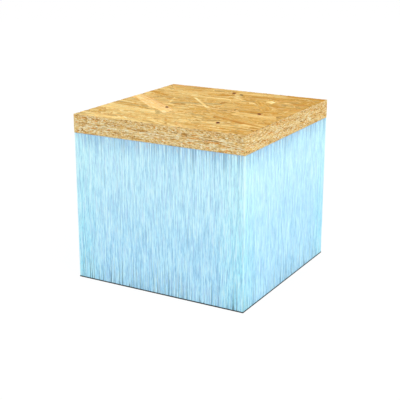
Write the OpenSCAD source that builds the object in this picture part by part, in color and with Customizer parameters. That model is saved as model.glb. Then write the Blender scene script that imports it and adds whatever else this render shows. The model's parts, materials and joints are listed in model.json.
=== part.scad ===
// Sawn block of a structural insulated panel: a strand board skin bonded to a
// rigid foam core, with a thin dark facing sheet under the core.
// Millimetres, +Z up. The origin is the centre of the underside, where the
// block rests. The face strands of the skin run along X.

/* [Block] */
// Length of the sawn block along X
block_length = 150; // [60:1:600]
// Width of the sawn block along Y
block_width = 150; // [60:1:600]

/* [Skin] */
// Thickness of the oriented strand board skin
skin_thickness = 15; // [9:0.5:25]
// Chamfer along the skin's exposed top edges
arris = 0.4; // [0.1:0.1:1]

/* [Core] */
// Thickness of the rigid foam core
core_thickness = 120; // [40:1:300]

/* [Facing] */
// Thickness of the facing sheet under the core
facing_thickness = 0.8; // [0.3:0.1:3]

/* [Hidden] */

// The layers stack face to face, so each starts where the last one ends.
core_base = facing_thickness;
skin_base = core_base + core_thickness;

// A layer cut to the block's outline, with its underside at z = base.
module sawn_layer(base, thickness) {
    translate([-block_length / 2, -block_width / 2, base])
        cube([block_length, block_width, thickness]);
}

// Cross-section of a board seen along its length: square below, where it is
// bonded, and with a chamfer on the two upper corners.
module eased_section(width, thickness, chamfer) {
    half = width / 2;
    shoulder = thickness - chamfer;
    polygon([
        [-half, 0],
        [half, 0],
        [half, shoulder],
        [half - chamfer, thickness],
        [chamfer - half, thickness],
        [-half, shoulder]
    ]);
}

// A board with its four upper edges eased: what two crossed sections share.
module eased_board(length, width, thickness, chamfer) {
    intersection() {
        rotate([90, 0, 90])
            linear_extrude(height = length, center = true)
                eased_section(width, thickness, chamfer);
        rotate([90, 0, 0])
            linear_extrude(height = width, center = true)
                eased_section(length, thickness, chamfer);
    }
}

module strand_board_skin() {
    color("#d9b36f")
        translate([0, 0, skin_base])
            eased_board(block_length, block_width, skin_thickness, arris);
}

module foam_core() {
    color("#b5e2f7")
        sawn_layer(core_base, core_thickness);
}

module facing_sheet() {
    color("#38342f")
        sawn_layer(0, facing_thickness);
}

strand_board_skin();
foam_core();
facing_sheet();
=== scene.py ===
# %% [markdown]
# # A sawn block of structural insulated panel
# The block has three real pieces: a strand board skin, a thick rigid foam core and a thin dark
# facing sheet under it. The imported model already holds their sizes, so this lesson only dresses
# them. It starts by loading that model as a fixed frame.

# %% Load the frame
import json
import math
import random

import bmesh
import bpy
from mathutils import Matrix, Vector

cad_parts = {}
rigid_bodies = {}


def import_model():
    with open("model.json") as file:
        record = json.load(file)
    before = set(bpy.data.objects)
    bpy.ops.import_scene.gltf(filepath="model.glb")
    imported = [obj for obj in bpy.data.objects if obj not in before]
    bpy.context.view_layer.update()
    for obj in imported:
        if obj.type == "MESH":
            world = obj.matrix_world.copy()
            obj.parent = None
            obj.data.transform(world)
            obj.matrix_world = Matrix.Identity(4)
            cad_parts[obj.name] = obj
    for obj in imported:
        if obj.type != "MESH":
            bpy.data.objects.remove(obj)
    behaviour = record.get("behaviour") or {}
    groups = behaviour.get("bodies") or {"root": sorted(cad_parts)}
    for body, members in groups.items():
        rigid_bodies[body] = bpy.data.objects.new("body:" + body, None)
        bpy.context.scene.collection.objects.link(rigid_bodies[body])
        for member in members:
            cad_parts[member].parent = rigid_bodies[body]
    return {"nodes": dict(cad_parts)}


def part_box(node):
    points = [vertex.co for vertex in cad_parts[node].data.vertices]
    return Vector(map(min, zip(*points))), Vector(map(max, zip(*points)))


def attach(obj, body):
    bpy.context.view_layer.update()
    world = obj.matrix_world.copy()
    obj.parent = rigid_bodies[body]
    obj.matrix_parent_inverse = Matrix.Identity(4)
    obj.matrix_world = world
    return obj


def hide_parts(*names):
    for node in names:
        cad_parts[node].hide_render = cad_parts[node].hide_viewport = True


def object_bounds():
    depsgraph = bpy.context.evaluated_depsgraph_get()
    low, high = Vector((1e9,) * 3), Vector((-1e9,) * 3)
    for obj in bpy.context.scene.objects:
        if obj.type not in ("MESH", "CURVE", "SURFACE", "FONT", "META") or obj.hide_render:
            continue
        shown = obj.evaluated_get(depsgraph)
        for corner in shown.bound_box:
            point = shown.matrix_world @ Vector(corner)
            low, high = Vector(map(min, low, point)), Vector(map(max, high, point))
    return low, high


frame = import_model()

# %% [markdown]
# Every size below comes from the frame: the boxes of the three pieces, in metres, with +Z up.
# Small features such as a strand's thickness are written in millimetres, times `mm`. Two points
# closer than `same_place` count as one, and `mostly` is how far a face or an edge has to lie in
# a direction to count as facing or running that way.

mm = 0.001
same_place = 0.01 * mm
mostly = 0.9
cad_low, cad_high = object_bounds()
skin_low, skin_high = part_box("strand_board_skin")
core_low, core_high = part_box("foam_core")
half_length = skin_high.x
half_width = skin_high.y
board_top = skin_high.z
board_thickness = skin_high.z - skin_low.z
foam_thickness = core_high.z - core_low.z
print("block", [round(side / mm, 1) for side in cad_high - cad_low], "mm")
print("board", round(board_thickness / mm, 1), "mm, foam", round(foam_thickness / mm, 1), "mm")

# %% [markdown]
# Colours are easiest to choose as they are seen on a screen, from 0 to 255. Blender's shaders
# and colour attributes work with light, so each one is turned into a linear value once, here.


# %% Colours as seen
def seen(red, green, blue):
    """A colour given as it is seen, as linear red, green and blue."""
    return tuple(((part / 255 + 0.055) / 1.055) ** 2.4 for part in (red, green, blue))


def blend(first, second, share):
    """The colour that lies that share of the way from the first to the second."""
    share = min(max(share, 0), 1)
    return tuple(a + (b - a) * share for a, b in zip(first, second))


def shaded(colour, amount):
    """The colour made lighter or darker by a factor."""
    return tuple(part * amount for part in colour)


pale_straw = seen(247, 217, 141)
straw = seen(234, 196, 116)
golden = seen(219, 176, 98)
deep_golden = seen(211, 161, 66)
amber = seen(202, 146, 48)
orange_brown = seen(212, 146, 66)
peach = seen(252, 212, 138)
grey_tan = seen(180, 152, 88)
knot_brown = seen(58, 12, 0)
gap_brown = seen(128, 84, 36)
bed_brown = seen(164, 116, 52)
edge_gap = seen(190, 138, 66)
edge_cream = seen(236, 219, 174)
edge_tan = seen(226, 197, 137)
edge_golden = seen(222, 184, 108)
edge_orange = seen(224, 142, 54)
edge_brown = seen(140, 94, 32)
char_brown = seen(104, 70, 26)
print("straw in linear light", [round(part, 3) for part in straw])

# %% [markdown]
# Blender's operators act on whatever is selected. These helpers make one object active, and in
# edit mode select faces, edges or points by a test on their place, as a hand would pick them.


# %% Picking helpers
def pick(piece):
    """Make one object the only selected one, and the active one."""
    bpy.ops.object.select_all(action="DESELECT")
    piece.select_set(True)
    bpy.context.view_layer.objects.active = piece


def edit_mode(on=True):
    """Go into edit mode, or leave it."""
    bpy.ops.object.mode_set(mode="EDIT" if on else "OBJECT")


def choose(piece, kind, test):
    """In edit mode, select only the VERT, EDGE or FACE elements that pass the test."""
    bpy.ops.mesh.select_mode(type=kind)
    bpy.ops.mesh.select_all(action="DESELECT")
    body = bmesh.from_edit_mesh(piece.data)
    parts = {"VERT": body.verts, "EDGE": body.edges, "FACE": body.faces}[kind]
    chosen = [part for part in parts if test(part)]
    for part in chosen:
        part.select_set(True)
    body.select_flush_mode()
    bmesh.update_edit_mesh(piece.data)
    return len(chosen)


def runs_along(axis):
    """A test that an edge runs along X (0), Y (1) or Z (2)."""
    def test(edge):
        way = edge.verts[1].co - edge.verts[0].co
        return abs(way[axis]) > mostly * way.length
    return test


# %% [markdown]
# Pieces start as plain blocks, and are joined to each other or cut by each other. The Boolean
# modifier could use its exact solver, but the manifold one is much faster on thousands of closed
# pieces, and keeps what it makes closed.


# %% Block and Boolean helpers
def block(name, low, high):
    """A plain block between two corners, with its place in its mesh."""
    bpy.ops.object.select_all(action="DESELECT")
    size = Vector(high) - Vector(low)
    bpy.ops.mesh.primitive_cube_add(size=1, location=(Vector(low) + Vector(high)) / 2, scale=size)
    bpy.ops.object.transform_apply(location=True, rotation=False, scale=True)
    piece = bpy.context.object
    piece.name = name
    return piece


def apply_boolean(piece, operation, other):
    """Join, cut or trim a piece with an object or with all objects of a collection."""
    pick(piece)
    change = piece.modifiers.new(operation, "BOOLEAN")
    change.operation = operation
    change.solver = "MANIFOLD"
    if isinstance(other, bpy.types.Collection):
        change.operand_type = "COLLECTION"
        change.collection = other
    else:
        change.object = other
    bpy.ops.object.modifier_apply(modifier=change.name)


def drop_crumbs(piece):
    """Keep only the body that the lowest corner belongs to, and clear faces with no area."""
    pick(piece)
    edit_mode()
    bpy.ops.mesh.select_all(action="SELECT")
    bpy.ops.mesh.dissolve_degenerate(threshold=0.001 * mm)
    lowest = min(bmesh.from_edit_mesh(piece.data).verts, key=lambda point: tuple(point.co)[::-1])
    place = lowest.co.copy()
    choose(piece, "VERT", lambda point: (point.co - place).length < 0.001 * mm)
    bpy.ops.mesh.select_linked()
    bpy.ops.mesh.select_all(action="INVERT")
    bpy.ops.mesh.delete(type="VERT")
    edit_mode(False)


def throw_away(*objects):
    """Delete helpers that are no longer needed."""
    for thing in objects:
        bpy.data.objects.remove(thing)


# %% [markdown]
# A strand is a thin flake of wood with its grain along it. Two things about it have to survive
# every later cut and join: which way its grain runs, and its own colour. A pattern in plain
# object space would run the same way through every strand. So each strand carries a UV map named
# Grain, in metres along and across the grain, and a colour attribute named Strand, whose alpha
# is 1 on the outline and 0 inside. Strands, slips and tears are all copies of a few patterns,
# each with a colour, a stretch of grain and a place of its own.

# %% Grain map and strand colour
outline_drop = 0.04 * mm
grain_reach = 2


def clear_maps(mesh):
    """Drop the UV maps that a primitive comes with."""
    for spare in [layer.name for layer in mesh.uv_layers]:
        mesh.uv_layers.remove(mesh.uv_layers[spare])


def mark_grain(piece, along=0, across=1):
    """Write the Grain map from the mesh's own coordinates, and an empty Strand colour."""
    mesh = piece.data
    clear_maps(mesh)
    mesh.uv_layers.new(name="Grain")
    mesh.attributes.new("Strand", "FLOAT_COLOR", "CORNER")
    places = []
    for loop in mesh.loops:
        place = mesh.vertices[loop.vertex_index].co
        places += [place[along], place[across]]
    # A layer is fetched only after the last one is added, because adding one moves the others.
    mesh.uv_layers["Grain"].data.foreach_set("uv", places)


def paint_strand(mesh, colour, offset=(0, 0), outline=None):
    """Give one strand its colour, mark its outline and slide its grain to a place of its own."""
    outline = outline or [0.0] * len(mesh.vertices)
    colours = []
    for loop in mesh.loops:
        colours += [*colour, outline[loop.vertex_index]]
    mesh.attributes["Strand"].data.foreach_set("color", colours)
    grain = mesh.uv_layers["Grain"].data
    places = [0.0] * (2 * len(mesh.loops))
    grain.foreach_get("uv", places)
    slid = [place + offset[i % 2] for i, place in enumerate(places)]
    grain.foreach_set("uv", slid)


def add_copy(pattern, name, group, colour, draw, placing, outline=None):
    """Put a copy of a pattern in a collection, with its own mesh, colour, grain and place."""
    mesh = pattern.data.copy()
    offset = (draw.uniform(0, grain_reach), draw.uniform(0, grain_reach))
    paint_strand(mesh, colour, offset, outline)
    mesh.transform(placing)
    group.objects.link(bpy.data.objects.new(name, mesh))


# %% [markdown]
# Strands are cut from logs by spinning knives. They split along the grain, so their sides are
# long and slightly wavy, and their ends are torn across at an angle. A pattern could be drawn
# point by point, but this way needs only a few numbers: it starts as a flat block, gets sections
# that are nudged sideways one by one, has its ends sliced off by slanted planes, and last gets a
# soft outline by an inset.

# %% Strand patterns
face_strand_thickness = 0.35 * mm
outline_width = 0.35 * mm
sections = 8


def soften_outline(piece, width):
    """Inset the top by a width, leave the rim a hair lower, and finish the pattern."""
    choose(piece, "FACE", lambda face: face.normal.z > mostly)
    bpy.ops.mesh.inset(thickness=width, depth=0)
    bpy.ops.transform.translate(value=(0, 0, outline_drop))
    bpy.ops.mesh.select_all(action="SELECT")
    bpy.ops.transform.translate(value=(0, 0, -outline_drop))
    edit_mode(False)
    mark_grain(piece)
    print(f"{piece.name}: {len(piece.data.polygons)} faces")


def strand_pattern(name, length, width, ends, seed):
    """A strand along X with its top at z = 0. Each end is a list of slanted cuts (lean, loss)."""
    chance = random.Random(seed)
    low = (-length / 2, -width / 2, -face_strand_thickness)
    strand = block(name, low, (length / 2, width / 2, 0))
    edit_mode()
    choose(strand, "EDGE", runs_along(0))
    bpy.ops.mesh.subdivide(number_cuts=sections)
    for k in range(sections + 2):
        place = length * (k / (sections + 1) - 0.5)
        choose(strand, "VERT", lambda point: abs(point.co.x - place) < same_place)
        bpy.ops.transform.resize(value=(1, chance.uniform(0.8, 1), 1))
        bpy.ops.transform.translate(value=(0, chance.uniform(-0.08, 0.08) * width, 0))
    for side, cuts in zip((-1, 1), ends):
        for lean, loss in cuts:
            bpy.ops.mesh.select_all(action="SELECT")
            bpy.ops.mesh.bisect(
                plane_co=(side * (length / 2 - loss), 0, 0),
                plane_no=(side, lean, 0),
                use_fill=True,
                clear_outer=True,
            )
    soften_outline(strand, min(outline_width, width / 6))
    return strand


square_end = [(0.12, 0.6 * mm)]
raked_end = [(0.7, 3 * mm)]
backraked_end = [(-0.8, 3 * mm)]
pointed_end = [(1.4, 3.5 * mm), (-0.9, 2.5 * mm)]
torn_end = [(2.2, 5 * mm), (-0.25, 1 * mm)]
patterns = {}
for name, length, width, ends, seed in (
    ("broad", 84, 11, (raked_end, torn_end), 1),
    ("plank", 66, 15, (square_end, raked_end), 2),
    ("stub", 34, 13, (torn_end, backraked_end), 3),
    ("long", 78, 7, (raked_end, pointed_end), 4),
    ("lath", 58, 5, (backraked_end, square_end), 5),
    ("strip", 46, 3.2, (square_end, raked_end), 6),
    ("sliver", 50, 3, (raked_end, backraked_end), 7),
    ("shard", 24, 6, (pointed_end, raked_end), 8),
    ("chip", 12, 7, (square_end, raked_end), 9),
    ("splinter", 14, 1.6, (square_end, raked_end), 10),
):
    patterns[name] = strand_pattern(name, length * mm, width * mm, ends, seed)

# %% [markdown]
# The face could be one flat sheet with a pattern on it, but then no strand would have an end that
# catches the light. So it is laid as the forming machine does it: strand after strand, mostly
# with the grain along the board, each one a hair above those before it. Deep strands are laid
# first. Those that lie on top, and give this board its look, are placed one by one at the end.

# %% Laying strands
laid = bpy.data.collections.new("laid_strands")
strand_count = 0


def lay(pattern, x, y, turn, level, colour, stretch=(1, 1)):
    """Copy a pattern to a place on the board, with its top that far below the board's top."""
    global strand_count
    strand_count += 1
    source = patterns[pattern]
    outline = [1.0 if point.co.z < -outline_drop / 2 else 0.0 for point in source.data.vertices]
    placing = (
        Matrix.Translation((x, y, board_top - level))
        @ Matrix.Rotation(math.radians(turn), 4, "Z")
        @ Matrix.Diagonal((*stretch, 1, 1))
    )
    draw = random.Random(strand_count)
    add_copy(source, f"strand_{strand_count}", laid, colour, draw, placing, outline)


deepest_level = 0.33 * mm
shallowest_level = 0.05 * mm
just_under = 0.03 * mm
field_strands = 1400
overhang = 1.1
turn_spreads = (5, 9, 14, 24, 44)
greyed_below, reddened_below, amber_below = 0.09, 0.16, 0.24
chance = random.Random(21)
common = ["plank", "broad", "long", "lath", "stub", "strip", "shard", "chip", "sliver", "splinter"]
often_below = [3, 5, 9, 9, 3, 9, 6, 2, 6, 2]
often_above = [0, 1, 2, 5, 1, 7, 9, 7, 8, 18]
for k in range(field_strands):
    x = chance.uniform(-overhang, overhang) * half_length
    y = chance.uniform(-overhang, overhang) * half_width
    turn = chance.gauss(0, chance.choice(turn_spreads))
    # The wood is paler towards the near left corner and deeper towards the far side.
    paleness = 0.5 - 0.28 * x / half_length - 0.3 * y / half_width + chance.gauss(0, 0.28)
    colour = blend(deep_golden, pale_straw, paleness)
    draw = chance.random()
    if draw < greyed_below:
        colour = blend(colour, grey_tan, chance.uniform(0.3, 0.8))
    elif draw < reddened_below:
        colour = blend(colour, orange_brown, chance.uniform(0.15, 0.5))
    elif draw < amber_below:
        colour = blend(colour, amber, chance.uniform(0.3, 0.9))
    level = deepest_level + (shallowest_level - deepest_level) * k / field_strands
    # Deeper strands are painted darker and the top ones a little lighter: painted shade under the
    # strands that lie over them.
    colour = shaded(colour, 1.04 - 0.2 * level / deepest_level)
    stretch = (chance.uniform(0.35, 1.0), chance.uniform(0.5, 1.0))
    often = often_below if k < 0.6 * field_strands else often_above
    lay(chance.choices(common, often)[0], x, y, turn, level, colour, stretch)
print(strand_count, "field strands")

# %% [markdown]
# Fines are the splinters that fill the gaps. They lie every way, and break the long lines of the
# grain. Specks in the material could stand for them, but these are laid like strands, from one
# short pattern, so that they have the same grain, outline and relief.

# %% Fines between the strands
fines = 420
for k in range(fines):
    x = chance.uniform(-1, 1) * half_length
    y = chance.uniform(-1, 1) * half_width
    colour = blend(deep_golden, pale_straw, chance.gauss(0.6, 0.4))
    if chance.random() < 0.45:
        stain = chance.choice((orange_brown, grey_tan, gap_brown))
        colour = blend(colour, stain, chance.uniform(0.2, 0.6))
    level = chance.uniform(just_under, shallowest_level)
    stretch = (chance.uniform(0.2, 0.6), chance.uniform(0.5, 1.1))
    lay("splinter", x, y, chance.gauss(0, 60), level, colour, stretch)
print(fines, "fines")

# %% [markdown]
# These strands show on top. A wide pale one is cut by the near left edge, a thin sliver crosses
# the middle, and a dark narrow one runs to the right edge. A random draw would put others there,
# so they are laid one by one. Each row has a pattern, its place in millimetres from the middle of
# the board, its turn in degrees from the length of the board, its level, colour and stretch.

# %% Strands on top
grey_tint = blend(golden, grey_tan, 0.6)
on_top = 0.02 * mm


def lay_by_hand(pattern, x, y, turn, level, colour, stretch=(1, 1)):
    """Lay one strand at a place in millimetres."""
    lay(pattern, x * mm, y * mm, turn, level, colour, stretch)


for strand in (
    ("broad", -46, -7.4, -37.5, just_under, peach, (1.07, 1.25)),
    ("long", -44.6, -1.6, -37.5, 0.025 * mm, blend(peach, orange_brown, 0.3), (0.95, 0.4)),
    ("sliver", -48.6, 1.9, -37, on_top, blend(peach, orange_brown, 0.8), (0.95, 0.3)),
    ("sliver", -36, -10.4, -39, on_top, blend(peach, orange_brown, 0.3), (0.8, 0.3)),
    ("sliver", -62, 7, -38, on_top, blend(peach, orange_brown, 0.3), (0.5, 0.25)),
    ("sliver", -31, -17.5, -38, on_top, blend(peach, orange_brown, 0.2), (0.6, 0.3)),
    ("sliver", -50, -8, -37, on_top, shaded(peach, 1.07), (1, 0.5)),
    ("splinter", -70, 65, -48, on_top, blend(grey_tan, gap_brown, 0.3), (0.9, 0.5)),
    ("sliver", -10, 12, -47, on_top, pale_straw),
    ("chip", 4, -2, -40, just_under, blend(straw, pale_straw, 0.5), (0.7, 0.7)),
    ("lath", 49, -38, -18, on_top, shaded(blend(deep_golden, orange_brown, 0.35), 0.95), (1, 1.05)),
    ("lath", -38, 47, 29, just_under, straw, (0.95, 1.2)),
    ("chip", 40.5, 41, -35, on_top, shaded(pale_straw, 1.08), (1, 1.1)),
    ("shard", 64, -46, -6, just_under, pale_straw, (1.1, 1)),
    ("plank", -50, -37, -2, just_under, blend(straw, pale_straw, 0.7), (0.9, 0.8)),
    ("shard", -41, -70, 4, just_under, shaded(pale_straw, 1.05), (1.1, 0.8)),
    ("sliver", -14, -61, 68, on_top, straw, (0.45, 0.9)),
    ("plank", 52, -13, -3, just_under, straw, (0.6, 0.8)),
    ("strip", -38, -62, 0, on_top, blend(straw, orange_brown, 0.3), (0.7, 0.9)),
    ("lath", -62, 71, 2, just_under, blend(golden, orange_brown, 0.35)),
    ("plank", 63, 71, 3, just_under, amber, (0.7, 0.4)),
    ("stub", -9, 50, 12, just_under, amber, (0.5, 0.6)),
    ("chip", 6, 20, 80, on_top, blend(amber, gap_brown, 0.4), (0.7, 0.6)),
    ("chip", -7, -26, 10, on_top, amber, (0.6, 0.6)),
    ("shard", -52, 18, 8, just_under, grey_tint, (0.9, 0.5)),
    ("chip", 11, -31, 40, just_under, grey_tint, (0.8, 0.9)),
    ("shard", -22, 65, 14, just_under, grey_tint, (0.5, 0.8)),
    ("shard", 21, 36, 18, just_under, grey_tint, (0.7, 0.6)),
    ("chip", 32, -42, 25, just_under, grey_tint, (1, 0.7)),
    ("splinter", 24, -3, 28, on_top, blend(grey_tan, gap_brown, 0.45), (0.6, 0.9)),
    ("splinter", 28, -1, -70, on_top, blend(grey_tan, gap_brown, 0.4), (0.5, 0.7)),
    ("splinter", 21, -7, 12, on_top, blend(grey_tan, gap_brown, 0.3), (0.7, 0.8)),
    ("shard", -63, 58, -50, on_top, blend(straw, orange_brown, 0.2), (0.9, 0.5)),
):
    lay_by_hand(*strand)
print(strand_count - field_strands - fines, "strands laid by hand")

# %% [markdown]
# Pin knots are the hearts of thin twigs: small dark ovals, most with a rim of resin. They could be
# dark spots in the material, but then the grain would run through them. Each is a short cylinder
# with an inset rim, pressed flush with the strands, and a rim of resin is a wider one under it.

# %% Pin knots
knot_radius = 2.1 * mm
bpy.ops.object.select_all(action="DESELECT")
bpy.ops.mesh.primitive_cylinder_add(
    vertices=14,
    radius=knot_radius,
    depth=face_strand_thickness,
    location=(0, 0, -face_strand_thickness / 2),
)
bpy.ops.object.transform_apply(location=True)
knot = bpy.context.object
knot.name = "knot"
edit_mode()
soften_outline(knot, outline_width)
patterns["knot"] = knot
resin_rim = seen(180, 100, 20)
for x, y, turn, long, wide in (
    (-5.5, 61.3, -62, 1.2, 0.66),
    (-25, -17.6, -55, 1.3, 0.6),
    (51.5, -5.5, -60, 1.15, 0.64),
    (38.3, -48.2, -64, 1.15, 0.58),
):
    lay_by_hand("knot", x, y, turn, 0.01 * mm, resin_rim, (1.2 * long, 1.35 * wide))
    lay_by_hand("knot", x, y, turn, 0, knot_brown, (long, wide))
lay_by_hand("knot", 3.5, 57.8, -50, 0, blend(knot_brown, grey_tan, 0.45), (1.4, 0.7))
print(strand_count, "strands and knots in all")

# %% [markdown]
# Loose strands would cut through each other and hang over the sides. So they are joined to a thin
# pressed bed: only what can be seen is left, and the piece is one closed solid. Then the saw
# squares it: the bed and strands are trimmed by a block with the board's outline, whose upper
# edges are eased.

# %% Pressed and sawn face
face_thickness = 0.75 * mm
bed_top = 0.38 * mm
arris = 0.4 * mm


def saw_square(piece, low, high, eased=False):
    """Trim a piece to the board's outline between two heights. The upper edges may be eased."""
    saw = block("saw", (-half_length, -half_width, low), (half_length, half_width, high))
    if eased:
        edit_mode()
        choose(saw, "EDGE", lambda edge: all(end.co.z > high - same_place for end in edge.verts))
        bpy.ops.mesh.bevel(offset=arris, segments=2, affect="EDGES")
        edit_mode(False)
    mark_grain(saw, 0, 1 if eased else 2)
    paint_strand(saw.data, edge_tan)
    apply_boolean(piece, "INTERSECT", saw)
    throw_away(saw)


face_board = block(
    "strand_board_face",
    (-half_length - mm, -half_width - mm, board_top - face_thickness),
    (half_length + mm, half_width + mm, board_top - bed_top),
)
mark_grain(face_board)
# The bed stands for the deepest strands, and its darker brown is painted shade in the gaps between the
# strands over it.
paint_strand(face_board.data, bed_brown)
apply_boolean(face_board, "UNION", laid)
print("pressed face", len(face_board.data.polygons), "faces")

saw_square(face_board, board_top - 2 * face_thickness, board_top, eased=True)
throw_away(*laid.objects, *patterns.values())
print("sawn face", len(face_board.data.polygons), "faces")

# %% [markdown]
# Seen from the side, a sawn board shows its strands on edge: about twenty thin wavy layers. They
# are short and crumbly near both faces, and long and streaky in the middle. Each side's layers
# are built of lens-shaped slips, each set a little deeper or shallower than its neighbours, so
# the saw marks and gaps are real relief. A picture of layers would look flat from close by.

# %% Edge slip patterns
layer_pitch = 0.68 * mm
slip_length = 10 * mm
slip_thickness = 0.95 * mm
slip_depth = 1.2 * mm
deepest_slip = 0.09 * mm
slip_sections = 3


def slip_pattern(name, seed):
    """A lens-shaped slip along X with its sawn side in the plane y = 0, facing -Y."""
    chance = random.Random(seed)
    low = (-slip_length / 2, 0, -slip_thickness / 2)
    slip = block(name, low, (slip_length / 2, slip_depth, slip_thickness / 2))
    edit_mode()
    choose(slip, "EDGE", runs_along(0))
    bpy.ops.mesh.subdivide(number_cuts=slip_sections)
    for k in range(slip_sections + 2):
        place = slip_length * (k / (slip_sections + 1) - 0.5)
        swell = 0.25 + 0.75 * math.sin(math.pi * k / (slip_sections + 1))
        choose(slip, "VERT", lambda point: abs(point.co.x - place) < same_place)
        bpy.ops.transform.resize(value=(1, 1, swell * chance.uniform(0.8, 1.1)))
        bpy.ops.transform.translate(value=(0, 0, chance.uniform(-0.22, 0.22) * slip_thickness))
    edit_mode(False)
    mark_grain(slip, 0, 2)
    return slip


slips = [slip_pattern(f"slip_{k}", 40 + k) for k in range(6)]
print(len(slips), "slip patterns of", len(slips[0].data.polygons), "faces")

# %% [markdown]
# The slips are laid end to end, layer over layer, on all four sides. A modifier could spread them
# evenly, but a loop can make them long and level in the middle layers, and short and tilted near
# both faces, as pressing leaves them.

# %% Laying the edge slips
edges_top = board_top - face_thickness
edge_height = edges_top - skin_low.z
layers = round(edge_height / layer_pitch)
edge_slips = bpy.data.collections.new("edge_slips")
resinous_below, scorched_below = 0.035, 0.09
crumb_length = 2.2
streak_length_gain = 12
wave_height = 0.35 * mm
wave_length = 9 * mm
chance = random.Random(5)


def edge_colour(side, height):
    """A slip's colour: cream and tan, more golden near the faces, darker on cut fibre ends."""
    middle = 1 - abs(2 * height - 1)
    draw = chance.random()
    if draw < resinous_below:
        return blend(edge_tan, edge_orange, chance.uniform(0.2, 0.8))
    if draw < scorched_below:
        return blend(edge_tan, edge_brown, chance.uniform(0.2, 0.7))
    paleness = 0.5 + 0.15 * middle + chance.gauss(0, 0.19) + (0.08 if side % 2 == 0 else -0.07)
    return blend(edge_golden, edge_cream, paleness)


def on_side(side, along, depth, height, lean, stretch):
    """A place on a side of the board: 0 is the front, 1 the right, 2 the back and 3 the left."""
    reach = half_width if side % 2 == 0 else half_length
    return (
        Matrix.Rotation(side * math.pi / 2, 4, "Z")
        @ Matrix.Translation((along, depth - reach, height))
        @ Matrix.Rotation(math.radians(lean), 4, "Y")
        @ Matrix.Diagonal((*stretch, 1))
    )


for side in range(4):
    run = half_length if side % 2 == 0 else half_width
    for layer in range(layers + 1):
        share = layer / layers
        streaky = max(0, 1 - abs(share - 0.5) / 0.28)
        typical = (crumb_length + streak_length_gain * streaky) * mm
        place = -run - chance.uniform(0, typical)
        while place < run:
            length = typical * chance.uniform(0.6, 1.6)
            thickness = layer_pitch * chance.uniform(0.85, 1.6)
            wave = wave_height * math.sin(place / wave_length + layer * 0.7 + side)
            height = skin_low.z + edge_height * share + wave + chance.gauss(0, 0.1) * mm
            depth = deepest_slip * chance.random() ** 1.5
            lean = chance.gauss(0, 1.2 + 3 * (1 - streaky))
            colour = edge_colour(side, share)
            slip = slips[chance.randrange(len(slips))]
            stretch = (length / slip_length, 1, thickness / slip_thickness)
            placing = on_side(side, place + length / 2, depth, height, lean, stretch)
            add_copy(slip, f"slip_{side}", edge_slips, colour, chance, placing)
            place += length * chance.uniform(0.72, 0.95)

# %% [markdown]
# The slips are joined to an inner block that closes the gaps between them, and squared by the
# same saw. Left loose, they would fill the board with thousands of hidden ends.

# %% Joining and squaring the edges
body_recess = 0.16 * mm
edge_board = block(
    "strand_board_edges",
    (body_recess - half_length, body_recess - half_width, skin_low.z),
    (half_length - body_recess, half_width - body_recess, edges_top),
)
mark_grain(edge_board, 0, 2)
paint_strand(edge_board.data, edge_gap)
apply_boolean(edge_board, "UNION", edge_slips)
saw_square(edge_board, skin_low.z, edges_top)
throw_away(*edge_slips.objects, *slips)
print("sawn edges", len(edge_board.data.polygons), "faces")

# %% [markdown]
# The saw also tears small chips out of the upper arris, and leaves a crack or two between the
# layers. A bevel alone would be too clean. Each tear is a rough pebble, stretched and turned, and
# cut away from both parts of the board; the hollow it leaves is painted a little darker, as
# painted shade inside chips and cracks.

# %% Torn arris
bpy.ops.object.select_all(action="DESELECT")
bpy.ops.mesh.primitive_ico_sphere_add(subdivisions=1, radius=mm)
pebble = bpy.context.object
mark_grain(pebble, 0, 2)
tears = bpy.data.collections.new("tears")
tears_per_side = 60
chance = random.Random(77)


def tear(side, along, below_top, size, turn, colour):
    """Put a pebble on a side of the board. Places and its size in three ways are in millimetres."""
    stretch = [part / 2 for part in size]
    placing = on_side(side, along * mm, 0, board_top - below_top * mm, turn, stretch)
    add_copy(pebble, f"tear_{side}", tears, colour, chance, placing)


for side in range(4):
    run = (half_length if side % 2 == 0 else half_width) / mm
    for k in range(tears_per_side):
        along = chance.uniform(-1, 1) * run
        size = (chance.uniform(1, 5), chance.uniform(0.5, 2.0), chance.uniform(0.5, 1.8))
        # The torn hollow is painted darker by a random share: painted shade.
        torn_hollow_shade = blend(edge_tan, edge_brown, chance.uniform(0, 0.9))
        tear(side, along, 0, size, chance.uniform(-14, 14), torn_hollow_shade)
# Cracks between the layers, painted dark brown inside as painted shade.
tear(0, 48, 7, (13, 0.9, 0.6), 2, edge_brown)
tear(0, 41, 7.4, (4, 0.9, 0.5), -4, edge_brown)
tear(0, -67, 11.5, (1.6, 0.8, 1.1), 0, edge_brown)
tear(1, 22, 8.5, (6, 0.8, 0.7), 3, edge_brown)
apply_boolean(face_board, "DIFFERENCE", tears)
apply_boolean(edge_board, "DIFFERENCE", tears)
drop_crumbs(face_board)
drop_crumbs(edge_board)
throw_away(pebble, *tears.objects)

# %% [markdown]
# The foam is sawn with the board, and its drawn-out cells stand upright, so its sides show fine
# upright streaks. A bump in the material could stand for them all, but then the arrises and the
# foot would be dead straight. So the block is opened at both ends, its upright arrises are eased,
# and its four sides are divided into narrow columns that can be pressed in.

# %% Foam block
columns = 300
rows = 40
most_cuts = 100
whole_edge = foam_thickness / 2
streak_depth = 0.2 * mm
streak_width = 0.9 * mm
streak_length = 18 * mm


def divide(piece, axis, longer_than, parts):
    """In edit mode, cut the edges along an axis that are longer than a length into equal parts."""
    choose(piece, "EDGE", lambda edge: runs_along(axis)(edge) and edge.calc_length() > longer_than)
    bpy.ops.mesh.subdivide(number_cuts=parts - 1)


foam = block("foam_core_block", core_low, core_high)
edit_mode()
choose(foam, "FACE", lambda face: abs(face.normal.z) > mostly)
bpy.ops.mesh.delete(type="ONLY_FACE")
choose(foam, "EDGE", runs_along(2))
bpy.ops.mesh.bevel(offset=arris, segments=1, affect="EDGES")
divide(foam, 2, whole_edge, rows)
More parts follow.
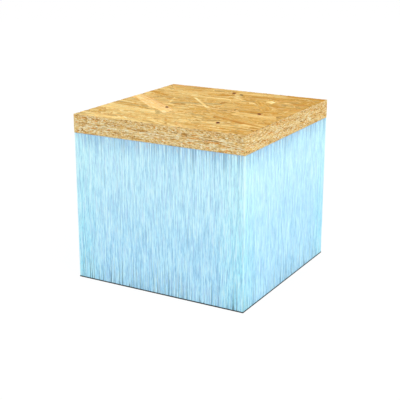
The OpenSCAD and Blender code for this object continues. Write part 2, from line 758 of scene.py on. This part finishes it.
# One subdivide makes at most a hundred cuts, so the columns are cut in two passes.
for axis in (0, 1):
    divide(foam, axis, whole_edge, most_cuts)
    divide(foam, axis, same_place, columns // most_cuts)
edit_mode(False)
print("foam", len(foam.data.polygons), "faces on its four sides")

# %% [markdown]
# The relief needs a pattern that is narrow across and long upright, and a cloud texture is even
# in every direction. So a UV map that walks round the block is stretched along its height. A
# Displace modifier then presses the sides in by that pattern, and never out, so the block keeps
# its size. Each streak could be sculpted by hand instead, with far more work.

# %% Upright relief
clear_maps(foam.data)
streaks = foam.data.uv_layers.new(name="Streaks")
for loop in foam.data.loops:
    place = foam.data.vertices[loop.vertex_index].co
    # Walking round the block, so that no streak is mirrored at a corner.
    if abs(place.y) * half_length > abs(place.x) * half_width:
        walk = place.x * (1 if place.y < 0 else -1) + (0 if place.y < 0 else 4 * half_length)
    else:
        walk = place.y * (1 if place.x > 0 else -1) + (2 if place.x > 0 else 6) * half_length
    streaks.data[loop.index].uv = (walk / streak_width, place.z / streak_length)
clouds = bpy.data.textures.new("streaks", "CLOUDS")
clouds.noise_scale = 1
clouds.noise_depth = 2
# The relief is shallower along the two rims.
rim_share = 0.4
rim_height = 0.1 * mm
sides = foam.vertex_groups.new(name="sides")
for point in foam.data.vertices:
    at_rim = min(point.co.z - core_low.z, core_high.z - point.co.z) < rim_height
    sides.add([point.index], rim_share if at_rim else 1, "REPLACE")
pick(foam)
press = foam.modifiers.new("streaks", "DISPLACE")
press.texture = clouds
press.texture_coords = "UV"
press.uv_layer = "Streaks"
press.direction = "NORMAL"
press.mid_level = 1
press.strength = streak_depth
press.vertex_group = "sides"
bpy.ops.object.modifier_apply(modifier=press.name)

# The saw cuts across the streaks last, so both ends stay flat.
edit_mode()
for height in (core_low.z, core_high.z):
    choose(foam, "EDGE", lambda edge: all(abs(end.co.z - height) < same_place for end in edge.verts))
    bpy.ops.mesh.edge_face_add()
bpy.ops.mesh.select_all(action="SELECT")
bpy.ops.mesh.normals_make_consistent(inside=False)
edit_mode(False)
relief = foam.data.attributes.new("Relief", "FLOAT", "POINT")
depths = []
for point in foam.data.vertices:
    inset = min(half_length - abs(point.co.x), half_width - abs(point.co.y))
    depths.append(min(max(inset / streak_depth, 0), 1))
relief.data.foreach_set("value", depths)
print("relief", round(min(depths), 2), "to", round(max(depths), 2), "of", streak_depth / mm, "mm")

# %% [markdown]
# Materials are made of nodes. These helpers place a node, feed its inputs with numbers or with
# other nodes' outputs, and return what comes out, so that a recipe reads from top to bottom.


# %% Node helpers
def feed(tree, socket, value):
    """Give an input a number, a colour or another node's output."""
    if isinstance(value, bpy.types.NodeSocket):
        tree.links.new(value, socket)
    elif hasattr(socket.default_value, "__len__") and len(socket.default_value) == 4:
        socket.default_value = (*value[:3], 1)
    else:
        socket.default_value = value


def fill(tree, node, **values):
    """Feed a node's inputs by name. An underscore in a name stands for a space."""
    for name, value in values.items():
        feed(tree, node.inputs[name.replace("_", " ")], value)
    return node


def add_node(tree, kind, **values):
    """A new shader node with its inputs fed."""
    return fill(tree, tree.nodes.new(f"ShaderNode{kind}"), **values)


def calc(tree, operation, *values):
    """One arithmetic step, such as ADD or SUBTRACT."""
    node = add_node(tree, "Math")
    node.operation = operation
    for socket, value in zip(node.inputs, values):
        feed(tree, socket, value)
    return node.outputs[0]


def times(tree, first, second):
    """The product of two values."""
    return calc(tree, "MULTIPLY", first, second)


def fade(tree, value, start, end, low=0.0, high=1.0):
    """A soft step: low where value is at start, high where it is at end."""
    node = add_node(tree, "MapRange", Value=value, From_Min=start, From_Max=end, To_Min=low, To_Max=high)
    node.interpolation_type = "SMOOTHSTEP"
    return node.outputs[0]


def mix(tree, share, first, second, blend_type="MIX"):
    """Two colours mixed, or one laid over the other by a blend type."""
    node = add_node(tree, "Mix")
    node.data_type = "RGBA"
    node.blend_type = blend_type
    for slot, value in ((0, share), (6, first), (7, second)):
        feed(tree, node.inputs[slot], value)
    return node.outputs[2]


def noise(tree, place, size, detail=2.0, roughness=0.5, offset=(0, 0, 0)):
    """Noise with features of the given size along each axis, in millimetres."""
    scale = [1 / (side * mm) for side in size]
    moved = add_node(tree, "Mapping", Vector=place, Location=offset, Scale=scale).outputs[0]
    texture = add_node(tree, "TexNoise", Vector=moved, Scale=1, Detail=detail, Roughness=roughness)
    return texture.outputs["Fac"]


# %% [markdown]
# A recipe that is used twice becomes a node group. A material starts as a bare Principled BSDF,
# reads places, maps and attributes, and ends with a bump.


# %% Group and material helpers
def new_group(name, inputs, outputs):
    """An empty node group with named inputs and outputs, given as (name, kind, value)."""
    tree = bpy.data.node_groups.new(name, "ShaderNodeTree")
    for label, kind, value in inputs:
        socket = tree.interface.new_socket(label, in_out="INPUT", socket_type=f"NodeSocket{kind}")
        if value is not None:
            socket.default_value = value
    for label, kind in outputs:
        tree.interface.new_socket(label, in_out="OUTPUT", socket_type=f"NodeSocket{kind}")
    start = tree.nodes.new("NodeGroupInput")
    end = tree.nodes.new("NodeGroupOutput")
    return tree, start.outputs, end.inputs


def use_group(tree, group, **values):
    """Place a node group in a material with its inputs fed, and return what comes out."""
    node = add_node(tree, "Group")
    node.node_tree = group
    return fill(tree, node, **values).outputs


def new_material(name, roughness, specular):
    """A material with a bare Principled BSDF, and its tree and shader."""
    material = bpy.data.materials.new(name)
    material.use_nodes = True
    tree = material.node_tree
    shader = tree.nodes["Principled BSDF"]
    fill(tree, shader, Roughness=roughness, Specular_IOR_Level=specular)
    return material, tree, shader


def read_place(tree):
    """Object coordinates, in metres in the block's own frame."""
    return add_node(tree, "TexCoord").outputs["Object"]


def read_grain(tree):
    """The Grain map: metres along and across a strand."""
    node = add_node(tree, "UVMap")
    node.uv_map = "Grain"
    return node.outputs[0]


def read_attribute(tree, name):
    """What a named attribute gives."""
    node = add_node(tree, "Attribute")
    node.attribute_name = name
    return node.outputs


def bump(tree, shader, height, distance, strength=1.0):
    """Fine relief from a height between 0 and 1, over that distance in metres."""
    node = add_node(tree, "Bump", Distance=distance, Strength=strength, Height=height)
    fill(tree, shader, Normal=node.outputs[0])


def dress(piece, material):
    """Make this the piece's only material."""
    piece.data.materials.clear()
    piece.data.materials.append(material)


# %% [markdown]
# Wood grain is used on the face and on the edges, so it is a group. A picture of wood would show
# the same lines on every strand, and noise never repeats. Fibres are very long, very thin noise.
# Growth bands are wider. Both run along the Grain map. Wood that is darker is also redder and
# richer, so the tone goes from one tint to another and not to grey.

# %% Grain group
rich_tint = (0.78, 0.67, 0.41)
fair_tint = (1.21, 1.34, 1.72)
grain_group, given, result = new_group(
    "Wood grain",
    [("Place", "Vector", None), ("Wood", "Color", None), ("Contrast", "Float", 1.0)],
    [("Wood", "Color"), ("Bands", "Float"), ("Strokes", "Float"), ("Height", "Float")],
)
fibres = noise(grain_group, given["Place"], (14, 0.4, 1000), detail=3, roughness=0.6)
growth = noise(grain_group, given["Place"], (30, 2, 1000), detail=2)
coarse = noise(grain_group, given["Place"], (26, 1.4, 1000), detail=2, offset=(5, 2, 0))
short = noise(grain_group, given["Place"], (3, 0.9, 1000), detail=2, offset=(2, 9, 0))
swing = calc(grain_group, "SUBTRACT", calc(grain_group, "ADD", fibres, growth), 1.0)
spread = times(grain_group, swing, given["Contrast"])
tint = mix(grain_group, calc(grain_group, "ADD", spread, 0.47), rich_tint, fair_tint)
feed(grain_group, result["Wood"], mix(grain_group, 1.0, given["Wood"], tint, "MULTIPLY"))
feed(grain_group, result["Bands"], fade(grain_group, coarse, 0.52, 0.64))
feed(grain_group, result["Strokes"], fade(grain_group, short, 0.58, 0.66))
feed(grain_group, result["Height"], fibres)
print("grain group", len(grain_group.nodes), "nodes")

# %% [markdown]
# Small dark specks of bark and char are scattered through the board. Noise cut off at a level
# would give blots of every shape. A Voronoi cell gives each speck its middle instead, and the
# cell's own random colour decides how big it is and whether there is one at all.

# %% Speck group
speck_group, given, result = new_group(
    "Specks",
    [("Place", "Vector", None), ("Spacing", "Float", 3 * mm), ("Share", "Float", 0.2)],
    [("Mask", "Float")],
)
scale = calc(speck_group, "DIVIDE", 1.0, given["Spacing"])
cells = add_node(speck_group, "TexVoronoi", Vector=given["Place"], Scale=scale, Randomness=1)
draw = add_node(speck_group, "SeparateColor", Color=cells.outputs["Color"])
has_speck = calc(speck_group, "LESS_THAN", draw.outputs[0], given["Share"])
size = fade(speck_group, draw.outputs[1], 0.0, 1.0, 0.14, 0.34)
near = calc(speck_group, "LESS_THAN", cells.outputs["Distance"], size)
feed(speck_group, result["Mask"], times(speck_group, near, has_speck))
print("speck group", len(speck_group.nodes), "nodes")

# %% [markdown]
# On the face of the board each strand keeps its own colour, the grain darkens and reddens it
# along its bands, the outlines are a little darker, partly where resin and dust collect and
# partly as painted shade in the gaps between strands, and a slow mottle greys some places. Each
# strand could have a material of its own, but one that reads the strand's colour does for all.
# Pressed wood has a faint gloss that the grain breaks up.

# %% Board face material
face_material, tree, shader = new_material("strand_board_face", 0.72, 0.04)
place = read_place(tree)
strand = read_attribute(tree, "Strand")
grain = use_group(tree, grain_group, Place=read_grain(tree), Wood=strand["Color"], Contrast=1.6)


def stain_and_shade(colour, share, tint):
    """The colour multiplied by a tint, over a share of the surface. Tints are real stains, and painted
    shade along the outlines.
    """
    return mix(tree, share, colour, mix(tree, 1.0, colour, tint, "MULTIPLY"))


# Some wood is redder and some is greener, in patches that follow the grain.
warm_tint = (1.04, 0.95, 0.81)
cool_tint = (0.96, 1.04, 1.19)
band_stain = (0.82, 0.68, 0.46)
stroke_stain = (0.68, 0.52, 0.30)
grey_stain = (0.82, 0.78, 0.66)
outline_resin_and_shade = (0.68, 0.50, 0.30)
hue = noise(tree, read_grain(tree), (7, 3, 1000), detail=3, offset=(7, 3, 0))
hue_tint = mix(tree, fade(tree, hue, 0.38, 0.62), warm_tint, cool_tint)
hued = mix(tree, 1.0, grain["Wood"], hue_tint, "MULTIPLY")
banded = stain_and_shade(hued, times(tree, grain["Bands"], 0.5), band_stain)
stroked = stain_and_shade(banded, times(tree, grain["Strokes"], 0.6), stroke_stain)
mottle = noise(tree, place, (16, 7, 9), detail=3)
greyed = stain_and_shade(stroked, fade(tree, mottle, 0.52, 0.72, 0, 0.35), grey_stain)
# The outlines are darker: partly resin and dust, partly painted shade in the gaps between strands.
outlined = stain_and_shade(greyed, times(tree, strand["Alpha"], 0.45), outline_resin_and_shade)
specks = use_group(tree, speck_group, Place=place, Spacing=3 * mm, Share=0.05)
speckled = mix(tree, times(tree, specks["Mask"], 0.5), outlined, gap_brown)
gloss_loss = fade(tree, grain["Height"], 0.3, 0.7, 0.6, 0.76)
fill(tree, shader, Base_Color=speckled, Roughness=gloss_loss)
bump(tree, shader, grain["Height"], 0.06 * mm, 0.6)
dress(face_board, face_material)

# %% [markdown]
# The sawn edges could share the face's material, but they are rougher and matt. Fibres are cut
# short, so the grain is fainter, but each cut end has a tone of its own. There are more specks,
# with small orange ones where resin shows.

# %% Board edge material
edge_material, tree, shader = new_material("strand_board_edges", 0.9, 0.03)
place = read_place(tree)
strand = read_attribute(tree, "Strand")
grain = use_group(tree, grain_group, Place=read_grain(tree), Wood=strand["Color"], Contrast=0.5)

# Cut fibre ends: small flat cells, each a little lighter or darker than the next.
cut_dark = (0.88, 0.76, 0.50)
cut_pale = (1.08, 1.20, 1.35)
flatness = 2.2
cut_width = 1.7 * mm
flat_place = add_node(tree, "Mapping", Vector=place, Scale=(1, 1, flatness)).outputs[0]
ends = add_node(tree, "TexVoronoi", Vector=flat_place, Scale=1 / cut_width)
tints = add_node(tree, "SeparateColor", Color=ends.outputs["Color"])
end_tint = mix(tree, tints.outputs[0], cut_dark, cut_pale)
end_hue = mix(tree, tints.outputs[1], warm_tint, cool_tint)
grainy = mix(tree, 1.0, mix(tree, 1.0, grain["Wood"], end_tint, "MULTIPLY"), end_hue, "MULTIPLY")

# Crumbled places crowd towards the face, where the strands are finest. Flecks lie all over.
blot_stain = (0.79, 0.64, 0.36)
pit_stain = (0.76, 0.54, 0.22)
apart = add_node(tree, "SeparateXYZ", Vector=place)
near_face = fade(tree, apart.outputs[2], skin_low.z + 6 * mm, board_top)
crumble = noise(tree, place, (1.5, 1.5, 0.7), detail=3, roughness=0.65)
deep = calc(tree, "ADD", crumble, times(tree, near_face, 0.03))
blots = use_group(tree, speck_group, Place=flat_place, Spacing=3.2 * mm, Share=0.45)
blotted = stain_and_shade(grainy, times(tree, blots["Mask"], 0.75), blot_stain)
pitted = stain_and_shade(blotted, fade(tree, deep, 0.56, 0.66, 0, 0.7), pit_stain)
dark = use_group(tree, speck_group, Place=flat_place, Spacing=1.9 * mm, Share=0.15)
resin = use_group(tree, speck_group, Place=flat_place, Spacing=3 * mm, Share=0.08)
speckled = mix(tree, times(tree, dark["Mask"], 0.85), pitted, char_brown)
resinous = mix(tree, times(tree, resin["Mask"], 0.7), speckled, edge_orange)
fill(tree, shader, Base_Color=resinous)
bump(tree, shader, calc(tree, "ADD", grain["Height"], crumble), 0.1 * mm, 0.4)
dress(edge_board, edge_material)

# %% [markdown]
# Foam streaks stand upright in three sizes: a slow drift of tone, streaks about half a
# millimetre wide, and hair-fine ones. They are made by noise whose features are much taller
# than wide. One size alone would look like cloth, so all three are added up. More streaks hang
# from the board and others rise from the foot; near the board and the foot their darkness is
# partly painted shade.
# The upright arrises catch the light and are paler.

# %% Foam material
foam_upper = seen(192, 240, 255)
foam_lower = seen(173, 227, 252)
foam_light = seen(225, 255, 255)
foam_dark = seen(135, 178, 212)
foam_line = seen(122, 158, 180)
foam_cyan_upper = seen(198, 255, 255)
foam_cyan_lower = seen(157, 246, 255)
foam_lilac = seen(188, 212, 244)
under_board_streak_shade = seen(118, 162, 206)
wood_dust = seen(190, 164, 152)
foam_foot = seen(76, 100, 114)
foot_streak_shade = seen(86, 110, 118)
foam_material, tree, shader = new_material("foam_core_block", 0.85, 0.15)
place = read_place(tree)
relief_value = read_attribute(tree, "Relief")["Fac"]
apart = add_node(tree, "SeparateXYZ", Vector=place)
below_top = calc(tree, "SUBTRACT", core_high.z, apart.outputs[2])
above_foot = calc(tree, "SUBTRACT", apart.outputs[2], core_low.z)
from_side = calc(tree, "SUBTRACT", half_length, calc(tree, "ABSOLUTE", apart.outputs[0]))
from_end = calc(tree, "SUBTRACT", half_width, calc(tree, "ABSOLUTE", apart.outputs[1]))
from_arris = calc(tree, "MAXIMUM", from_side, from_end)

# Slow drifts of tone: paler under the board, deeper at the foot, and cyan towards the corners.
low_down = fade(tree, below_top, 15 * mm, 92 * mm)
drift = mix(tree, low_down, foam_upper, foam_lower)
corner_tone = mix(tree, low_down, foam_cyan_upper, foam_cyan_lower)
drift = mix(tree, fade(tree, from_arris, 28 * mm, 2 * mm, 0, 0.45), drift, corner_tone)
broad = noise(tree, place, (4, 4, 50), detail=2)
middle = noise(tree, place, (0.56, 0.56, 18), detail=2, roughness=0.5)
hair = noise(tree, place, (0.34, 0.34, 5), detail=2, roughness=0.6, offset=(3, 5, 7))
tone = calc(tree, "ADD", times(tree, middle, 0.5), times(tree, hair, 0.4))
tone = calc(tree, "ADD", tone, times(tree, broad, 0.05))
tone = calc(tree, "ADD", tone, 0.026)
pale = mix(tree, fade(tree, tone, 0.49, 0.59, 0, 0.68), drift, foam_light)
dark_share = fade(tree, below_top, 60 * mm, 112 * mm, 0.6, 0.78)
streaked = mix(tree, fade(tree, tone, 0.51, 0.41, 0, dark_share), pale, foam_dark)
hue = noise(tree, place, (1.5, 1.5, 18), detail=1, offset=(1, 8, 4))
tinted = mix(tree, fade(tree, hue, 0.5, 0.68, 0, 0.3), streaked, foam_lilac)
line = noise(tree, place, (0.5, 0.5, 34), detail=1, offset=(6, 3, 2))
lined = mix(tree, fade(tree, line, 0.65, 0.72, 0, 0.5), tinted, foam_line)
# Places pressed deeper are painted a little darker: painted shade in the hollows of the relief.
pressed = mix(tree, times(tree, relief_value, 0.1), lined, foam_dark)


# Streaks that hang from the board and rise from the foot, each with a reach of its own. Most are
# hair-fine; here and there one is a clear line. Darkest at their roots, they are partly painted
# shade under the board and at the foot.
def rooted(distance, reach, strongest):
    """The share of a streak: strongest at its root, nothing beyond its reach."""
    return fade(tree, calc(tree, "DIVIDE", distance, reach), 1.0, 0.1, 0, strongest)


fringe = noise(tree, place, (0.62, 0.62, 400), detail=2, roughness=0.6, offset=(9, 2, 0))
wires = noise(tree, place, (0.9, 0.9, 400), detail=0, offset=(2, 7, 1))
# Under the board the hanging streaks and lines are darkest near the board: partly the foam's own
# streaks, partly painted shade under the board.
top_fringe = rooted(below_top, fade(tree, fringe, 0.46, 0.62, 1 * mm, 23 * mm), 0.5)
top_lines = rooted(below_top, fade(tree, wires, 0.62, 0.74, 0.3 * mm, 26 * mm), 0.6)
# At the foot the rising streaks and lines are darkest at the root: partly the foam's own streaks, partly
# painted shade where the block meets the floor.
foot_fringe = rooted(above_foot, fade(tree, fringe, 0.46, 0.34, 0.5 * mm, 24 * mm), 0.4)
foot_lines = rooted(above_foot, fade(tree, wires, 0.37, 0.26, 0.3 * mm, 34 * mm), 0.8)
hung = mix(tree, top_lines, mix(tree, top_fringe, pressed, under_board_streak_shade), foam_line)
footed = mix(tree, foot_lines, mix(tree, foot_fringe, hung, foam_foot), foot_streak_shade)
dust = noise(tree, place, (0.8, 0.8, 6), detail=2, offset=(4, 4, 1))
dust_share = times(tree, fade(tree, dust, 0.56, 0.68, 0, 0.45), fade(tree, below_top, 9 * mm, 0.5 * mm))
dusted = mix(tree, dust_share, footed, wood_dust)
arris_glow = fade(tree, from_arris, 2.3 * mm, 0.3 * mm, 0, 0.64)
arris_share = times(tree, arris_glow, fade(tree, above_foot, 20 * mm, 120 * mm, 0.12, 1))
bright_arris = mix(tree, arris_share, dusted, foam_light)
fill(tree, shader, Base_Color=bright_arris)
bump(tree, shader, tone, 0.1 * mm, 0.6)
dress(foam, foam_material)

# %% [markdown]
# The facing sheet is a thin dark fleece. Its own shape in the frame is right, so it keeps it and
# only gets a finish: fine random fibres in near black.

# %% Facing material
fleece_dark = seen(14, 11, 8)
fleece_light = seen(36, 29, 23)
fleece_worn = seen(36, 28, 21)
facing_material, tree, shader = new_material("facing_sheet", 0.9, 0.2)
place = read_place(tree)
fibre = noise(tree, place, (0.5, 0.5, 0.5), detail=4, roughness=0.7)
drift = noise(tree, place, (9, 5, 9), detail=2)
fleece = mix(tree, fade(tree, fibre, 0.35, 0.65), fleece_dark, fleece_light)
worn = mix(tree, fade(tree, drift, 0.4, 0.7, 0, 0.35), fleece, fleece_worn)
fill(tree, shader, Base_Color=worn)
bump(tree, shader, fibre, 0.15 * mm, 0.8)
dress(frame["nodes"]["facing_sheet"], facing_material)

# %% [markdown]
# Outside Blender a finish is shown as a picture on a flat map. An automatic unwrap would scatter
# these pieces into thousands of scraps, so each one gets a plain map instead: its four sides as
# four strips, one over the other, and the face of the board as seen from straight above.

# %% Flat maps
strip_fill = 0.96
used_width = 0.985
corner_share = 0.01


def lay_flat(piece, low, high, face_share):
    """Add the map: the face on that share of it, the sides over it, hidden faces in a corner."""
    places = []
    for face in piece.data.polygons:
        x, y, z = face.center
        gaps = (half_width + y, half_length - x, half_width - y, half_length + x)
        side = gaps.index(min(gaps))
        flat = abs(face.normal.z) > mostly
        hidden = flat and (z - low < same_place or (not face_share and high - z < same_place))
        on_face = face_share > 0 and gaps[side] > same_place
        for point in [piece.data.vertices[index].co for index in face.vertices]:
            from_left = point.x / (2 * half_length) + 0.5
            from_front = point.y / (2 * half_width) + 0.5
            along = (from_left, from_front, 1 - from_left, 1 - from_front)[side]
            up = (point.z - low) / (high - low)
            if hidden:
                places += [1 - corner_share * from_left, corner_share * from_front]
            elif on_face:
                places += [used_width * from_left, face_share * strip_fill * from_front]
            else:
                strip = (side + strip_fill * up) / 4
                places += [used_width * along, face_share + (1 - face_share) * strip]
    flat_map = piece.data.uv_layers.new(name="OFBake")
    flat_map.data.foreach_set("uv", places)


lay_flat(face_board, edges_top, board_top, face_share=0.88)
lay_flat(edge_board, skin_low.z, edges_top, face_share=0)
lay_flat(foam, core_low.z, core_high.z, face_share=0)
print("maps", [layer.name for layer in face_board.data.uv_layers])

# %% [markdown]
# Each new piece rides on the one body, and the piece of the frame that it stands for is hidden.

# %% Tying the pieces to the frame
for piece, node, finish in (
    (face_board, "strand_board_skin", "strand_board"),
    (edge_board, "strand_board_skin", "strand_board"),
    (foam, "foam_core", "rigid_foam"),
):
    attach(piece, "root")
    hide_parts(node)
    print(piece.name, len(piece.data.polygons), "faces,", len(piece.data.vertices), "points")

# %% [markdown]
# The block lies on a white floor under plain soft light. The floor is a real white surface, with
# some white added only where it is looked at, straight or as a reflection. So it reads as paper,
# lights the block as a plain floor would, and keeps the block's shadow.


# %% Floor
def looked_at(tree):
    """1 for what the camera sees, straight, mirrored or through glass, and 0 for plain light."""
    path = add_node(tree, "LightPath").outputs
    mirrored = calc(tree, "MAXIMUM", path["Is Glossy Ray"], path["Is Transmission Ray"])
    return calc(tree, "MAXIMUM", path["Is Camera Ray"], mirrored)


floor_side = 12
paper_white = 0.85
paper_glow = 1.03
paper_glow_share = 0.9
bpy.ops.object.select_all(action="DESELECT")
bpy.ops.mesh.primitive_plane_add(size=floor_side, location=(0, 0, cad_low.z))
floor = bpy.context.object
floor.name = "floor"
floor_material = bpy.data.materials.new("floor")
floor_material.use_nodes = True
tree = floor_material.node_tree
tree.nodes.clear()
paper = add_node(tree, "BsdfDiffuse", Color=(paper_white, paper_white, paper_white))
glow = add_node(tree, "Emission", Strength=paper_glow)
both = add_node(tree, "MixShader", Fac=times(tree, looked_at(tree), paper_glow_share))
tree.links.new(paper.outputs[0], both.inputs[1])
tree.links.new(glow.outputs[0], both.inputs[2])
add_node(tree, "OutputMaterial", Surface=both.outputs[0])
dress(floor, floor_material)

# %% [markdown]
# The world is an even white, a little dimmer as light than as it is seen. Dimmer light leaves the
# block's shaded sides some depth, and a picture of a studio would add nothing to a plain block.

# %% World
world = bpy.data.worlds.new("studio")
bpy.context.scene.world = world
world.use_nodes = True
tree = world.node_tree
sky_level = 0.86
strength = fade(tree, looked_at(tree), 0.0, 1.0, sky_level, 1.0)
fill(tree, tree.nodes["Background"], Color=(1, 1, 1), Strength=strength)


# %% [markdown]
# Three wide, soft lamps stand round the block: the key at the right, the fill in front and a
# little to the left, and one behind. A single small lamp would give a hard shadow.


# %% Lamps
def aim_at(target, name, data, turn, lift, distance):
    """Add a lamp or a camera that looks at a target from a turn and a lift in degrees."""
    a, e = math.radians(turn), math.radians(lift)
    away = Vector((math.sin(a) * math.cos(e), -math.cos(a) * math.cos(e), math.sin(e)))
    thing = bpy.data.objects.new(name, data)
    bpy.context.scene.collection.objects.link(thing)
    thing.location = target + away * distance
    thing.rotation_euler = away.to_track_quat("Z", "Y").to_euler()
    return thing


block_middle = (cad_low + cad_high) / 2


def area_lamp(name, turn, lift, distance, side, power):
    """A square soft lamp that looks at the middle of the block."""
    data = bpy.data.lights.new(name, "AREA")
    data.size = side
    data.energy = power
    aim_at(block_middle, name, data, turn, lift, distance)


area_lamp("key", turn=72, lift=34, distance=1.4, side=0.9, power=6.2)
area_lamp("fill", turn=-20, lift=26, distance=1.6, side=1.2, power=2.4)
area_lamp("back", turn=215, lift=28, distance=1.6, side=1.2, power=3.4)

# %% [markdown]
# The camera stands like someone at a workbench, a little to the right and looking down, with a
# fairly long lens, so that the block's edges draw together only slightly.

# %% Camera
view_turn = 29.65
view_dip = 17.2
view_distance = 777 * mm
sensor = 36
lens_per_sensor = 2.348
aim_shift = Vector((-1.8 * mm, -4.7 * mm, -10.2 * mm))
camera_data = bpy.data.cameras.new("camera")
camera_data.sensor_width = sensor
camera_data.lens = sensor * lens_per_sensor
aim = block_middle + aim_shift
camera = aim_at(aim, "camera", camera_data, view_turn, view_dip, view_distance)
bpy.context.scene.camera = camera
bpy.context.scene.view_settings.view_transform = "Standard"
print("camera at", [round(side, 3) for side in camera.location])
